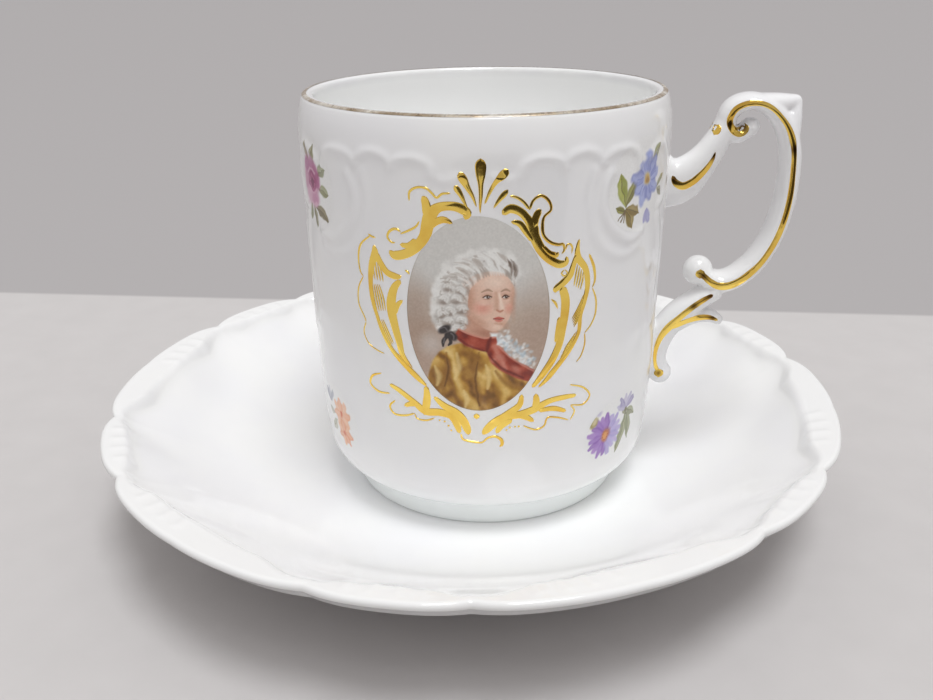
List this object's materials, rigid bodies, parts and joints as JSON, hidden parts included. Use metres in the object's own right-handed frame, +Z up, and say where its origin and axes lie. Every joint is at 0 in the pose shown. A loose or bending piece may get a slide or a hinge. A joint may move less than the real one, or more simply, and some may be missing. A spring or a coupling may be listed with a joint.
{
  "type": "porcelain cup and saucer",
  "caption": "White porcelain mocha cup with a gilt scroll handle, an oval portrait in a gilt cartouche and flower sprays, standing loose on a lobed saucer.",
  "frame": {"origin": "middle of the saucer's base, on the table", "axes": "+Z up, -Y towards the front of the cup with the oval picture, +X towards the handle"},
  "size_m": [0.13, 0.1294, 0.0735],
  "materials": {
    "white_glaze": "clear glossy glaze on white porcelain",
    "gilding": "burnished fired gold, worn on the lip",
    "portrait_enamel": "fired picture transfer, glossy",
    "flower_enamel": "fired flower transfer, glossy"
  },
  "bodies": {
    "saucer": {"saucer": "white_glaze"},
    "cup": {"cup_body": "white_glaze", "handle": "white_glaze", "rim_gilding": "gilding", "portrait_medallion": "portrait_enamel", "cartouche_ray_1": "gilding", "cartouche_ray_2": "gilding", "cartouche_ray_3": "gilding", "cartouche_ray_4": "gilding", "cartouche_ray_5": "gilding", "cartouche_upper_scroll_left": "gilding", "cartouche_upper_scroll_right": "gilding", "cartouche_side_leaf_left": "gilding", "cartouche_side_leaf_right": "gilding", "cartouche_lower_branch_left": "gilding", "cartouche_lower_branch_right": "gilding", "flower_spray_rose": "flower_enamel", "flower_spray_blue": "flower_enamel", "flower_spray_orange": "flower_enamel", "flower_spray_aster": "flower_enamel", "handle_line_arm_front": "gilding", "handle_line_arm_back": "gilding", "handle_line_sweep_front": "gilding", "handle_line_sweep_back": "gilding", "handle_line_root_front": "gilding", "handle_line_root_back": "gilding", "handle_line_spur_front": "gilding", "handle_line_spur_back": "gilding"}
  },
  "joints": [
    {"name": "cup_lift", "type": "slide", "parent": "saucer", "child": "cup", "axis": [0, 0, 1], "range_m": [0, 0.05]}
  ]
}
